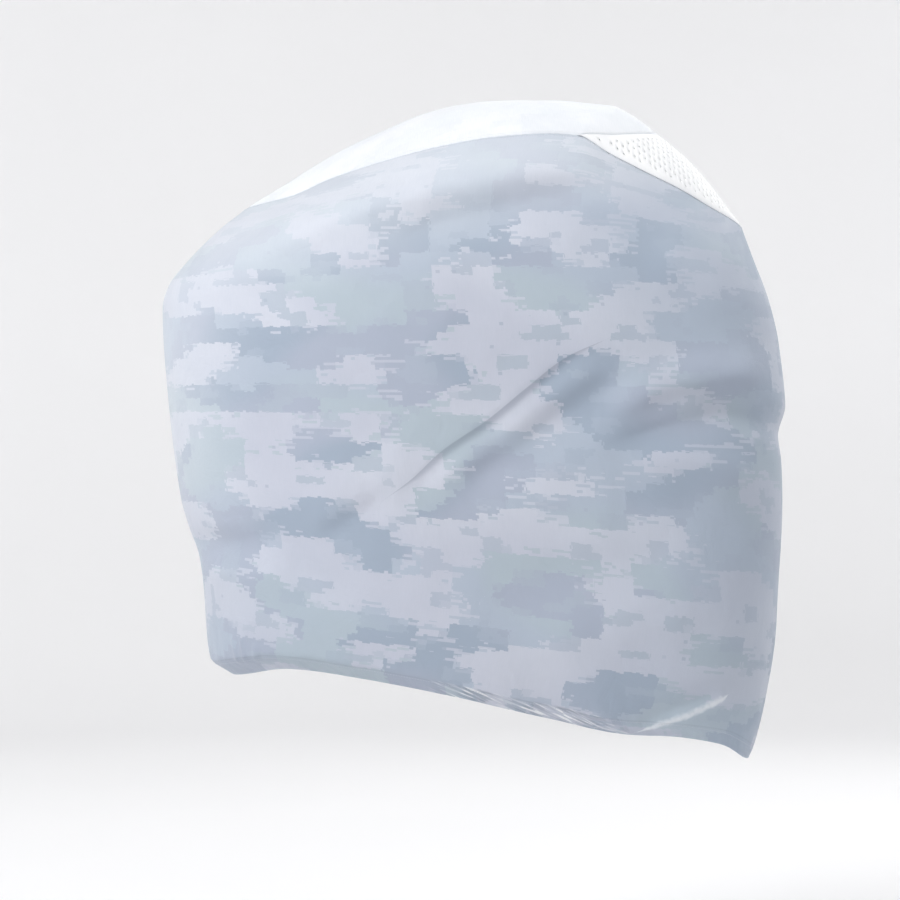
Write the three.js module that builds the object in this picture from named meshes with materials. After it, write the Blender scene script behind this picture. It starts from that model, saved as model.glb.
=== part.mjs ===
// A fitted cloth cover for the engine cowling of a large outboard motor, standing in the shape it
// takes when it is pulled down over the cowling. Two camouflage side panels wrap round the bow end
// and the stern end and meet in a centre seam at each. A leaf-shaped insert closes the crown between
// them: a printed top panel in front, and a perforated vent panel on the slope behind it. The hem is
// elastic, so it draws in under the cowling's lip and gathers.
import * as THREE from "three";

// Sizes are in millimetres. +X points aft, +Y to starboard and +Z up. The origin is the underside
// of the crown, where the cowling carries the cover. Drops are measured down from the crown.
const CLOTH = 2;
const SEAM_GAP = 0.3;
const HALF_WIDTH = 300;
const FRONT_TIP = { x: -374, drop: 145 };
const REAR_TIP = { x: 310, drop: 172 };
const FRONT_HEM = { x: -395, drop: 790 };
const REAR_HEM = { x: 312, drop: 900 };
const CORNER_X = 75; // where the insert's seam turns down from the top to the vent's slope

// The grid of each side panel, and how many of its columns lie ahead of the seam's corner.
const COLUMNS = 46;
const CORNER_COLUMN = 28;
const ROWS = 32;
const ROW_CROWDING = 0.25; // how much closer the rows are at the hem and at the shoulder
const INSERT_ROWS = 10; // across the top panel and the vent panel
const MEASURING_STEPS = 400; // along one row, to space its columns evenly
const FADE_CELLS = 4; // folds and gathers die away over this many cells before a seam

// The bow edge and the stern edge of the side panels, from the hem (rise 0) to the insert's tip (1).
const FRONT_EDGE = [
  { rise: 0.0, x: FRONT_HEM.x },
  { rise: 0.035, x: -425 },
  { rise: 0.09, x: -430 },
  { rise: 0.2, x: -434 },
  { rise: 0.255, x: -440 },
  { rise: 0.315, x: -454 },
  { rise: 0.38, x: -466 },
  { rise: 0.57, x: -482 },
  { rise: 0.78, x: -491 },
  { rise: 0.825, x: -483 },
  { rise: 0.865, x: -465 },
  { rise: 0.95, x: -414 },
  { rise: 1.0, x: FRONT_TIP.x },
];
const REAR_EDGE = [
  { rise: 0.0, x: REAR_HEM.x },
  { rise: 0.03, x: 318 },
  { rise: 0.13, x: 330 },
  { rise: 0.26, x: 345 },
  { rise: 0.42, x: 350 },
  { rise: 0.55, x: 348 },
  { rise: 0.596, x: 345 },
  { rise: 0.655, x: 357 },
  { rise: 0.77, x: 352 },
  { rise: 0.83, x: 345 },
  { rise: 0.925, x: 326 },
  { rise: 1.0, x: REAR_TIP.x },
];

// The hem and the insert's seam, seen from the side.
const HEM = [
  FRONT_HEM,
  { x: -300, drop: 770 },
  { x: -204, drop: 779 },
  { x: -94, drop: 798 },
  { x: 28, drop: 826 },
  { x: 134, drop: 848 },
  { x: 196, drop: 853 },
  { x: 258, drop: 866 },
  REAR_HEM,
];
const INSERT_SEAM = [
  FRONT_TIP,
  { x: -309, drop: 136 },
  { x: -248, drop: 115 },
  { x: -184, drop: 98 },
  { x: -105, drop: 81 },
  { x: -35, drop: 71 },
  { x: 39, drop: 66 },
  { x: CORNER_X, drop: 68 },
  { x: 117, drop: 90 },
  { x: 163, drop: 111 },
  { x: 216, drop: 133 },
  { x: 261, drop: 154 },
  REAR_TIP,
];
// The insert's centre line, from its front tip over the crown to its rear tip.
const CROWN = [
  FRONT_TIP,
  { x: -312, drop: 108 },
  { x: -254, drop: 74 },
  { x: -188, drop: 41 },
  { x: -129, drop: 16 },
  { x: -82, drop: 5 },
  { x: -30, drop: 0 },
  { x: 60, drop: 0 },
  { x: 129, drop: 6 },
  { x: 152, drop: 16 },
  { x: 200, drop: 51 },
  { x: 247, drop: 92 },
  { x: 282, drop: 136 },
  REAR_TIP,
];

// The side panels' fullness up from the hem: width is a share of HALF_WIDTH, and bow and stern say
// how square the plan is at each end (2 is round, more is boxier, less is pointed).
const FULLNESS = [
  { rise: 0.0, width: 0.86, bow: 2.1, stern: 3.4 },
  { rise: 0.04, width: 0.92, bow: 2.2, stern: 3.8 },
  { rise: 0.12, width: 0.965, bow: 2.2, stern: 4.4 },
  { rise: 0.3, width: 0.99, bow: 2.2, stern: 4.5 },
  { rise: 0.5, width: 1.0, bow: 2.2, stern: 4.5 },
  { rise: 0.65, width: 0.995, bow: 2.2, stern: 4.2 },
  { rise: 0.76, width: 0.97, bow: 2.15, stern: 3.6 },
  { rise: 0.88, width: 0.9, bow: 2.0, stern: 2.8 },
  { rise: 0.95, width: 0.8, bow: 1.75, stern: 2.2 },
  { rise: 1.0, width: 0.667, bow: 1.45, stern: 1.8 },
];

// Where the top panel's rear edge crosses the centre line, as a share of the insert's length.
const TOP_END_AT_CENTRE = 0.79;
const TOP_END_POWER = 2.5; // how squarely that edge turns aft beside the insert's seam
const CROWN_SKEW = 42; // the crown runs this far aft of the seam at mid length
const INSERT_TIP = 2; // half of the width at which the insert's two tips are cut

// The folds of each side: a soft ridge or, with a negative height, a trough along a line.
const PORT_FOLDS = [
  { name: "shoulder ridge", x: -340, drop: 248, toX: 90, toDrop: 122, width: 30, height: 5 },
  { name: "long trough", x: -141, drop: 524, toX: 95, toDrop: 346, width: 22, height: -9 },
  { name: "long ridge", x: -124, drop: 550, toX: 114, toDrop: 371, width: 24, height: 11 },
  { name: "broad trough", x: -84, drop: 548, toX: 104, toDrop: 408, width: 32, height: -11 },
  { name: "stern ridge", x: 118, drop: 428, toX: 330, toDrop: 388, width: 30, height: 9 },
  { name: "stern trough", x: 112, drop: 456, toX: 358, toDrop: 482, width: 26, height: -9 },
  { name: "pull to the tie point", x: -60, drop: 786, toX: 128, toDrop: 826, width: 20, height: 7 },
  { name: "pull from the stern", x: 168, drop: 834, toX: 262, toDrop: 780, width: 20, height: 8 },
  { name: "bow pull", x: -420, drop: 640, toX: -300, toDrop: 596, width: 24, height: -6 },
];
const STARBOARD_FOLDS = [
  { name: "long trough", x: -120, drop: 560, toX: 150, toDrop: 420, width: 26, height: -7 },
  { name: "long ridge", x: -100, drop: 596, toX: 168, toDrop: 460, width: 30, height: 9 },
  { name: "stern trough", x: 160, drop: 560, toX: 366, toDrop: 488, width: 30, height: -8 },
  { name: "bow ridge", x: -400, drop: 430, toX: -250, toDrop: 520, width: 30, height: 6 },
  { name: "pull to the tie point", x: -20, drop: 796, toX: 120, toDrop: 826, width: 20, height: 7 },
  { name: "pull from the stern", x: 172, drop: 834, toX: 250, toDrop: 786, width: 20, height: 7 },
];

// The elastic hem's gathers: waves round the hem that die away upwards and are uneven in height.
// start is where the first wave begins, from the bow seam, so that the two sides differ.
const GATHER = { pitch: 150, height: 5, reach: 60, unevenPitch: 555, start: 20 };

// Reads one column of a table at a value of its key column, along a smooth curve with no overshoot.
function read(table, key, column, at) {
  const last = table.length - 2;
  let i = 0;
  while (i < last && table[i + 1][key] < at) i += 1;
  const slope = (k) =>
    (table[k + 1][column] - table[k][column]) / (table[k + 1][key] - table[k][key]);
  const tangent = (k) => {
    if (k === 0) return slope(0);
    if (k === table.length - 1) return slope(k - 1);
    const before = slope(k - 1);
    const after = slope(k);
    return before * after <= 0 ? 0 : (2 * before * after) / (before + after);
  };
  const span = table[i + 1][key] - table[i][key];
  const t = THREE.MathUtils.clamp((at - table[i][key]) / span, 0, 1);
  const start = table[i][column];
  const end = table[i + 1][column];
  const ease = t * t * (3 - 2 * t);
  return (
    start +
    (end - start) * ease +
    span * (tangent(i) * t * (1 - t) ** 2 - tangent(i + 1) * t * t * (1 - t))
  );
}

const mix = THREE.MathUtils.lerp;

// How full the plan is at a share of the length, from 0 at both ends to 1 at the middle.
function planWidth(share, bow, stern) {
  const power = share < 0.5 ? bow : stern;
  const out = Math.min(1, Math.abs(2 * share - 1));
  return (1 - out ** power) ** (1 / power);
}

// The side panel's outline in side view, filled in between its four edges.
function sideView(share, rise) {
  const front = read(FRONT_EDGE, "rise", "x", rise);
  const rear = read(REAR_EDGE, "rise", "x", rise);
  const frontDrop = mix(FRONT_HEM.drop, FRONT_TIP.drop, rise);
  const rearDrop = mix(REAR_HEM.drop, REAR_TIP.drop, rise);
  const hemX = mix(FRONT_HEM.x, REAR_HEM.x, share);
  const seamX = mix(FRONT_TIP.x, REAR_TIP.x, share);
  const hemDrop = read(HEM, "x", "drop", hemX);
  const seamDrop = read(INSERT_SEAM, "x", "drop", seamX);
  const flatDrop = mix(
    mix(FRONT_HEM.drop, REAR_HEM.drop, share),
    mix(FRONT_TIP.drop, REAR_TIP.drop, share),
    rise,
  );
  return {
    x: mix(front, rear, share),
    drop: mix(hemDrop, seamDrop, rise) + mix(frontDrop, rearDrop, share) - flatDrop,
  };
}

// A point of the starboard side panel's outer face before folds: share runs from bow to stern.
function sidePoint(share, rise) {
  const { x, drop } = sideView(share, rise);
  const width = HALF_WIDTH * read(FULLNESS, "rise", "width", rise);
  const bow = read(FULLNESS, "rise", "bow", rise);
  const stern = read(FULLNESS, "rise", "stern", rise);
  return new THREE.Vector3(x, width * planWidth(share, bow, stern), CLOTH - drop);
}

// Shares of the length that space a row's columns evenly along the cloth, between two shares.
function evenShares(rise, from, to, count) {
  const shares = [];
  const lengths = [0];
  for (let i = 0; i <= MEASURING_STEPS; i += 1) {
    const turn = (1 - Math.cos((Math.PI * i) / MEASURING_STEPS)) / 2;
    shares.push(mix(from, to, turn));
    if (i > 0) {
      const step = sidePoint(shares[i], rise).distanceTo(sidePoint(shares[i - 1], rise));
      lengths.push(lengths[i - 1] + step);
    }
  }
  const even = [];
  let k = 1;
  for (let i = 0; i <= count; i += 1) {
    const wanted = (lengths[MEASURING_STEPS] * i) / count;
    while (k < MEASURING_STEPS && lengths[k] < wanted) k += 1;
    const t = (wanted - lengths[k - 1]) / (lengths[k] - lengths[k - 1]);
    even.push(mix(shares[k - 1], shares[k], THREE.MathUtils.clamp(t, 0, 1)));
  }
  return even;
}

const CORNER_SHARE = (CORNER_X - FRONT_TIP.x) / (REAR_TIP.x - FRONT_TIP.x);
const SEAM_SHARES = [
  ...evenShares(1, 0, CORNER_SHARE, CORNER_COLUMN),
  ...evenShares(1, CORNER_SHARE, 1, COLUMNS - CORNER_COLUMN).slice(1),
];

// Rows are closer together at the hem and at the shoulder, where the cloth turns.
function riseOfRow(row) {
  const t = row / ROWS;
  return t - (ROW_CROWDING * Math.sin(2 * Math.PI * t)) / (2 * Math.PI);
}

// How far the folds lift the cloth off its smooth form at a place seen from the side.
function foldLift(folds, x, drop) {
  let lift = 0;
  for (const fold of folds) {
    const alongX = fold.toX - fold.x;
    const alongDrop = fold.toDrop - fold.drop;
    const length = Math.hypot(alongX, alongDrop);
    const along = ((x - fold.x) * alongX + (drop - fold.drop) * alongDrop) / length;
    const across = ((x - fold.x) * alongDrop - (drop - fold.drop) * alongX) / length;
    const past = Math.max(0, -along, along - length);
    lift += fold.height * Math.exp(-((across / fold.width) ** 2) - (past / (2 * fold.width)) ** 2);
  }
  return lift;
}

function gatherLift(around, aboveHem) {
  const wave = Math.sin((2 * Math.PI * around) / GATHER.pitch);
  const uneven = 0.6 + 0.4 * Math.sin((2 * Math.PI * around) / GATHER.unevenPitch);
  return GATHER.height * wave * uneven * Math.exp(-aboveHem / GATHER.reach);
}

// Normals of a grid of points, each the mean of the four faces that meet there.
function gridNormals(grid) {
  return grid.map((row, j) =>
    row.map((point, i) => {
      const before = row[Math.max(0, i - 1)];
      const after = row[Math.min(row.length - 1, i + 1)];
      const below = grid[Math.max(0, j - 1)][i];
      const above = grid[Math.min(grid.length - 1, j + 1)][i];
      const along = after.clone().sub(before);
      return along.cross(above.clone().sub(below)).normalize();
    }),
  );
}

// The outer face of a side panel as rows of points, from the hem up and from the bow aft: side is
// -1 to port and 1 to starboard. It is worked out to starboard and turned over for port.
function sideGrid(side, folds) {
  const smooth = [];
  for (let row = 0; row <= ROWS; row += 1) {
    const rise = riseOfRow(row);
    const shares = row === ROWS ? SEAM_SHARES : evenShares(rise, 0, 1, COLUMNS);
    smooth.push(shares.map((share) => sidePoint(share, rise)));
  }
  const normals = gridNormals(smooth);
  const grid = smooth.map((points, row) => {
    let around = side * GATHER.start;
    return points.map((point, i) => {
      if (i > 0) around += point.distanceTo(points[i - 1]);
      const aboveHem = point.z - smooth[0][i].z;
      const fade = (cells) => THREE.MathUtils.smoothstep(cells, 0, FADE_CELLS);
      const lift =
        fade(Math.min(i, COLUMNS - i)) *
        (foldLift(folds, point.x, CLOTH - point.z) * fade(ROWS - row) + gatherLift(around, aboveHem));
      const moved = point.clone().addScaledVector(normals[row][i], -lift);
      moved.y = Math.max(moved.y, SEAM_GAP / 2);
      return moved;
    });
  });
  openGap(grid[ROWS], grid[ROWS - 1]);
  for (const point of grid[ROWS]) point.y = Math.max(point.y, SEAM_GAP / 2);
  for (const points of grid) for (const point of points) point.y *= side;
  return grid;
}

// A point of the insert's outer face: share runs from its front tip to its rear tip, and across
// from -1 at the port seam to 1 at the starboard seam.
function insertPoint(share, across) {
  const seam = sidePoint(share, 1);
  const skew = CROWN_SKEW * 4 * share * (1 - share);
  const crownX = mix(FRONT_TIP.x, REAR_TIP.x, share) + skew;
  const crownZ = CLOTH - read(CROWN, "x", "drop", crownX);
  const arch = 1 - across * across;
  return new THREE.Vector3(
    mix(seam.x, crownX, arch),
    seam.y * across,
    mix(seam.z, crownZ, arch),
  );
}

// The share of the insert's length at which the top panel ends and the vent panel starts.
function topEnd(across) {
  const toCentre = 1 - Math.abs(across) ** TOP_END_POWER;
  return mix(CORNER_SHARE, TOP_END_AT_CENTRE, toCentre);
}

// How far from the seam's end column towards the next one the insert's tip is cut.
const tipCut = (next) => INSERT_TIP / sidePoint(SEAM_SHARES[next], 1).y;

// The outer face of the top panel or the vent panel as rows of points from port to starboard.
function insertGrid(isTop) {
  const first = isTop ? 0 : CORNER_COLUMN;
  const last = isTop ? CORNER_COLUMN : COLUMNS;
  const tip = isTop ? 0 : COLUMNS;
  const next = isTop ? 1 : COLUMNS - 1;
  const gapShare = SEAM_GAP / 2 / (REAR_TIP.x - FRONT_TIP.x);
  const grid = [];
  for (let row = 0; row <= INSERT_ROWS; row += 1) {
    const across = (2 * row) / INSERT_ROWS - 1;
    const end = isTop ? topEnd(across) - gapShare : topEnd(across) + gapShare;
    const points = [];
    for (let i = first; i <= last; i += 1) {
      if (i === tip) {
        const cut = sidePoint(SEAM_SHARES[tip], 1);
        cut.lerp(sidePoint(SEAM_SHARES[next], 1), tipCut(next));
        points.push(cut.setY(cut.y * across));
        continue;
      }
      const along = isTop
        ? SEAM_SHARES[i] / CORNER_SHARE
        : (SEAM_SHARES[i] - CORNER_SHARE) / (1 - CORNER_SHARE);
      points.push(insertPoint(isTop ? along * end : mix(end, 1, along), across));
    }
    grid.push(points);
  }
  openGap(grid[0], grid[1]);
  openGap(grid[INSERT_ROWS], grid[INSERT_ROWS - 1]);
  return grid;
}

// Draws an edge row back towards its neighbour by half of the seam's gap.
function openGap(edge, neighbour) {
  edge.forEach((point, i) => {
    point.add(neighbour[i].clone().sub(point).setLength(SEAM_GAP / 2));
  });
}

// A closed sheet: the outer face, the inner face one thickness inside it, and the four edges.
function sheetGeometry(outer, normals) {
  const rows = outer.length;
  const columns = outer[0].length;
  const positions = [];
  const index = [];
  const count = rows * columns;
  for (const points of outer) for (const p of points) positions.push(p.x, p.y, p.z);
  outer.forEach((points, j) =>
    points.forEach((p, i) => {
      const inside = p.clone().addScaledVector(normals[j][i], -CLOTH);
      positions.push(inside.x, inside.y, inside.z);
    }),
  );
  const quad = (a, b, c, d) => index.push(a, b, c, a, c, d);
  for (let j = 0; j < rows - 1; j += 1) {
    for (let i = 0; i < columns - 1; i += 1) {
      const a = j * columns + i;
      const [b, c, d] = [a + 1, a + columns + 1, a + columns];
      quad(a, b, c, d);
      quad(a + count, d + count, c + count, b + count);
    }
  }
  // Both sides of a seam are split along the same diagonals, so that they can't cross.
  const edge = (a, b) => {
    if (a < b) quad(a, a + count, b + count, b);
    else quad(b, a, a + count, b + count);
  };
  for (let i = 0; i < columns - 1; i += 1) {
    edge(i, i + 1);
    edge((rows - 1) * columns + i + 1, (rows - 1) * columns + i);
  }
  for (let j = 0; j < rows - 1; j += 1) {
    edge((j + 1) * columns, j * columns);
    edge(j * columns + columns - 1, (j + 1) * columns + columns - 1);
  }
  const geometry = new THREE.BufferGeometry();
  geometry.setAttribute("position", new THREE.Float32BufferAttribute(positions, 3));
  geometry.setIndex(index);
  geometry.computeVertexNormals();
  return geometry;
}

// Outward normals of a panel, level at the centre seams so that the two side panels stay apart.
function panelNormals(grid, outwardSign, centreSeams) {
  const normals = gridNormals(grid);
  for (const row of normals) {
    for (const normal of row) normal.multiplyScalar(outwardSign);
    if (centreSeams) {
      for (const normal of [row[0], row[row.length - 1]]) {
        normal.y = 0;
        normal.normalize();
      }
    }
  }
  return normals;
}

const port = sideGrid(-1, PORT_FOLDS);
const starboard = sideGrid(1, STARBOARD_FOLDS);
const top = insertGrid(true);
const vent = insertGrid(false);
const portNormals = panelNormals(port, 1, true);
const starboardNormals = panelNormals(starboard, -1, true);
const topNormals = panelNormals(top, 1, false);
const ventNormals = panelNormals(vent, 1, false);

// Panels that share a seam share the direction in which it is thick, so their edges stay parallel.
function shareNormal(a, b) {
  const mean = a.clone().add(b).normalize();
  a.copy(mean);
  b.copy(mean);
}
for (let i = 1; i < COLUMNS; i += 1) {
  const insert = i <= CORNER_COLUMN ? topNormals : ventNormals;
  const column = i <= CORNER_COLUMN ? i : i - CORNER_COLUMN;
  shareNormal(portNormals[ROWS][i], insert[0][column]);
  shareNormal(starboardNormals[ROWS][i], insert[INSERT_ROWS][column]);
}
for (let row = 0; row <= INSERT_ROWS; row += 1) {
  if (row === 0 || row === INSERT_ROWS) ventNormals[row][0].copy(topNormals[row][CORNER_COLUMN]);
  else shareNormal(topNormals[row][CORNER_COLUMN], ventNormals[row][0]);
}
// The insert's cut tips lie between the side panels' edges, so they take the directions there.
function turnTip(insert, column, end, next) {
  const cut = tipCut(next);
  const toPort = portNormals[ROWS][end].clone().lerp(portNormals[ROWS][next], cut);
  const toStarboard = starboardNormals[ROWS][end].clone().lerp(starboardNormals[ROWS][next], cut);
  insert.forEach((row, j) => row[column].copy(toPort).lerp(toStarboard, j / INSERT_ROWS).normalize());
}
turnTip(topNormals, 0, 0, 1);
turnTip(ventNormals, COLUMNS - CORNER_COLUMN, COLUMNS, COLUMNS - 1);

const printedCloth = { color: 0xb9c4cf, roughness: 0.62, metalness: 0 };
const ventCloth = { color: 0xf2f4f5, roughness: 0.55, metalness: 0 };

function panel(name, grid, normals, look) {
  const mesh = new THREE.Mesh(sheetGeometry(grid, normals), new THREE.MeshStandardMaterial(look));
  mesh.name = name;
  return mesh;
}

// A grid whose faces look inwards is turned over, so that every sheet's outer face looks out.
const turned = (grid) => grid.slice().reverse();

const cover = new THREE.Group();
cover.add(
  panel("side_panel_port", port, portNormals, printedCloth),
  panel("side_panel_starboard", turned(starboard), turned(starboardNormals), printedCloth),
  panel("top_panel", top, topNormals, printedCloth),
  panel("vent_panel", vent, ventNormals, ventCloth),
);

export default cover;
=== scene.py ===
"""A fitted cloth cover for the cowling of a large outboard motor, in the shape it takes on the motor.

Four sewn panels make it: a port and a starboard side panel that meet in a seam at the bow and at the
stern, a printed top panel, and a perforated vent panel on the slope behind it. These two make up the
insert. Every panel is a thin closed sheet. Sizes are worked out in millimetres in the frame's axes (+X
aft, +Y starboard, +Z up, the origin under the crown) and become metres when a mesh is made. Drops are
measured down from the crown, rises are shares of a side panel's height and shares run from the bow aft.
"""

import math

import bpy
import numpy as np
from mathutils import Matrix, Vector
from mathutils.geometry import delaunay_2d_cdt


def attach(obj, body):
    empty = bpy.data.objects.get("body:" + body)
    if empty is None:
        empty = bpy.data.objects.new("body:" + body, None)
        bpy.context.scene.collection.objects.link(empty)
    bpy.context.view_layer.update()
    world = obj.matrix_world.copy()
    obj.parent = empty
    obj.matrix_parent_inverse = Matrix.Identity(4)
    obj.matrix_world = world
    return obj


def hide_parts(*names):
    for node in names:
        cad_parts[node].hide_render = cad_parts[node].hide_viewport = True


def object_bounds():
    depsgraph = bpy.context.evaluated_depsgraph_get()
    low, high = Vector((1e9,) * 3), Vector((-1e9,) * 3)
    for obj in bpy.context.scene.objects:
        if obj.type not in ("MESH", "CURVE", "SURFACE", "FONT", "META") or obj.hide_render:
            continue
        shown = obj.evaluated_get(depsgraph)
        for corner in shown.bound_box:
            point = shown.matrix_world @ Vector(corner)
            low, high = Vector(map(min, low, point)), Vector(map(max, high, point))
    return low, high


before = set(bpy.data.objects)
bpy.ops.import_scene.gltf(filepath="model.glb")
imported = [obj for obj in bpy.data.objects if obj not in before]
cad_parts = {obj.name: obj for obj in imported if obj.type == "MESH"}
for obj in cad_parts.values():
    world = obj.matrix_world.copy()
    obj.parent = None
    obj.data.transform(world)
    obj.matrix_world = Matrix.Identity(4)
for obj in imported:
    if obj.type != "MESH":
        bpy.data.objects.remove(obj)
cad_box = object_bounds()

MM = 0.001
TURN = 2 * math.pi
FAR = 1000.0  # a distance on a UV map where nothing is near

# The cover's form, in millimetres. Tips and hem ends are places seen from the side, x and drop.
CROWN_LEVEL = 2
HALF_WIDTH = 300
FRONT_TIP = (-374, 145)
REAR_TIP = (310, 172)
FRONT_HEM = (-395, 790)
REAR_HEM = (312, 900)
INSERT_LENGTH = REAR_TIP[0] - FRONT_TIP[0]
CORNER_X = 75  # where the seam between the top and the vent panel meets a side panel
PANEL_HEIGHT = 735
ROW_LENGTH = 1180
TOP_WIDTH = 390
TOP_LENGTH = 560
CROWN_SKEW = 42
TOP_END_AT_CENTRE = 0.79
TOP_END_POWER = 2.5
INSERT_TIP = 2  # half the width of the vent panel's blunt end at the stern


def table(columns, rows):
    """A small table as a dict of columns."""
    return dict(zip(columns.split(), np.array(rows, float).T))


FRONT_EDGE = table("rise x", [
    (0.0, FRONT_HEM[0]), (0.035, -425), (0.09, -430), (0.2, -434), (0.255, -440), (0.315, -454),
    (0.38, -466), (0.57, -482), (0.78, -491), (0.825, -483), (0.865, -465), (0.95, -414),
    (1.0, FRONT_TIP[0]),
])
REAR_EDGE = table("rise x", [
    (0.0, REAR_HEM[0]), (0.03, 318), (0.13, 330), (0.26, 345), (0.42, 350), (0.55, 348), (0.596, 345),
    (0.655, 357), (0.77, 352), (0.83, 345), (0.925, 326), (1.0, REAR_TIP[0]),
])
HEM = table("x drop", [
    FRONT_HEM, (-300, 770), (-204, 779), (-94, 798), (28, 826), (134, 848), (196, 853), (258, 866),
    REAR_HEM,
])
INSERT_SEAM = table("x drop", [
    FRONT_TIP, (-309, 136), (-248, 115), (-184, 98), (-105, 81), (-35, 71), (39, 66), (CORNER_X, 68),
    (117, 90), (163, 111), (216, 133), (261, 154), REAR_TIP,
])
CROWN = table("x drop", [
    FRONT_TIP, (-312, 108), (-254, 74), (-188, 41), (-129, 16), (-82, 5), (-30, 0), (60, 0), (129, 6),
    (152, 16), (200, 51), (247, 92), (282, 136), REAR_TIP,
])
# How full the side panels are: width is a share of HALF_WIDTH, and bow and stern say how square the
# plan is at each end.
FULLNESS = table("rise width bow stern", [
    (0.0, 0.86, 2.1, 3.4), (0.04, 0.92, 2.2, 3.8), (0.12, 0.965, 2.2, 4.4), (0.3, 0.99, 2.2, 4.5),
    (0.5, 1.0, 2.2, 4.5), (0.65, 0.995, 2.2, 4.2), (0.76, 0.97, 2.15, 3.6), (0.88, 0.9, 2.0, 2.8),
    (0.95, 0.8, 1.75, 2.2), (1.0, 0.667, 1.45, 1.8),
])

# Cloth, seams and hem.
THICKNESS = 0.8
SEAM_GAP = 0.3
ALLOWANCE = 7  # how deep the cloth runs inwards at a seam
GROOVE = {"depth": 1.5, "width": 2.6}
FLAT_SEAM = 0.3  # the seam between the top and the vent panel sinks this share of the others' depth
PUCKER = {"height": 0.35, "pitch": 12, "reach": 7, "drift": 3, "drift_length": 31}
HEM_FLAP = 18
HEM_TURN = 1.6  # the radius in which the cloth turns up inside the hem
GATHER = {"pitch": 150, "height": 2.4, "reach": 60, "uneven_pitch": 555, "start": 20}
HEM_PUCKER = {"pitch": 27, "height": 0.55, "reach": 30, "uneven_length": 88}
HEM_DRIFTS = ((9, 61, 1), (5, 23, 0))  # how far, over what length, and whether the seed shifts it
UNEVEN = 0.4
# Distances over which forms fade in: folds from the ends and from the top seam, the hem's gathers from
# the ends, and the top panel's waves from its seams. Normals turn into the centre plane over END_TURN
# towards an end, and level over HEM_LEVEL towards the hem.
FADE = {"ends": (4, 90), "top": (2, 70), "gathers": (4, 60), "insert": (2, 60)}
END_TURN = 6
HEM_LEVEL = 45
PRINT_START = {-1: 0, 1: 1730}  # where each side panel was cut from the printed cloth
TOP_PRINT = {"stretch": 1.05, "start": 700}
PRINT_TILT = {"slope": 0.12, "level_x": -100, "from_drop": 300, "to_drop": 850}
HOLE = {"across": 11.0, "along": 8.3, "radius": 1.05, "sides": 12, "margin": 5.5}
STITCH = {"pitch": 3.6, "length": 2.8, "radius": 0.32, "sides": 5, "from_seam": 3.9}

# The meshes' rows and columns. The rows of a side panel start at the end of its hem's flap.
FLAP_HEIGHTS = (HEM_FLAP, 14.5, 11, 7.5, 4.5)
TURN_ROWS = 7
OUTER_ROW = len(FLAP_HEIGHTS) + TURN_ROWS
HEM_ROW = 6  # heights above the hem are measured from this row
LOW_ROWS = {"first": 3.0, "last": 60, "step": 1.5, "largest": 3.9, "growth": 1.045}
SIDE_STEP = {"rows": 3.95, "columns": 4.1}
TOP_STEP = {"rows": 4.0, "columns": 4.2}
TIP_SHARES = [0.0007, 0.0016, 0.003, 0.0052, 0.008]  # columns where the top panel runs to its tip
TIP_COLUMNS_END = 5
SPARE_ROW = 20  # left out of a side panel where its number of rows has to be odd
SPARE_COLUMN = 8
HOLLOW = {"margin": 1.4, "most": 3.2, "most_at_hem": 0.6, "above_flap": 6, "reach": 2}
NARROW = (2, 12)  # the relief of the insert dies away between these half-widths, towards its tips
NARROW_ALLOWANCE = (6, 30)


def fold(height, above, below, line, power=2, ending=0.25):
    """A fold of a side panel along a line from the bow aft, of places seen from the side: a ridge, or a
    trough where height is negative. above and below are its half-widths on either side of the line,
    power makes it sharp (1) or soft (2), and ending is the share of its length in which it dies away."""
    return dict(height=height, above=above, below=below, line=line, power=power, ending=ending)


PORT_FOLDS = [
    fold(-3.6, 6.5, 15, [(-176, 554), (-137, 525), (-98, 489), (-42, 451), (8, 410), (57, 372), (112, 347)],
         power=2.2),
    fold(1.2, 18, 20, [(-160, 570), (-114, 544), (-80, 506), (-24, 465), (24, 429), (92, 384), (130, 360)]),
    fold(-9, 20, 36, [(-104, 556), (-48, 510), (3, 476), (39, 446), (100, 408), (150, 390)]),
    fold(9, 28, 16, [(84, 452), (118, 430), (160, 408), (200, 396), (259, 388), (340, 384)]),
    fold(-7.5, 14, 27, [(92, 486), (140, 466), (194, 450), (264, 434), (350, 442)], power=1.8),
    fold(5, 22, 34, [(110, 506), (200, 500), (320, 516)]),
    fold(-4.5, 14, 18, [(-274, 604), (-236, 580), (-165, 534)]),
    fold(4.5, 34, 34, [(-300, 566), (-210, 540), (-130, 486)]),
    fold(-6, 18, 22, [(-446, 592), (-380, 606), (-300, 584)]),
    fold(5, 18, 26, [(-440, 640), (-370, 650), (-290, 640)]),
    fold(8, 26, 20, [(-420, 262), (-300, 210), (-203, 174), (-100, 148), (-19, 132), (60, 116), (116, 112)]),
    fold(-7, 20, 40, [(-210, 226), (-110, 194), (-20, 170), (60, 152), (130, 150)]),
    fold(3.5, 30, 40, [(150, 210), (230, 260), (320, 300)]),
    fold(-3.5, 26, 40, [(-60, 660), (60, 640), (200, 610)]),
    fold(3.5, 40, 30, [(-20, 720), (90, 716), (230, 690)]),
]
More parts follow.
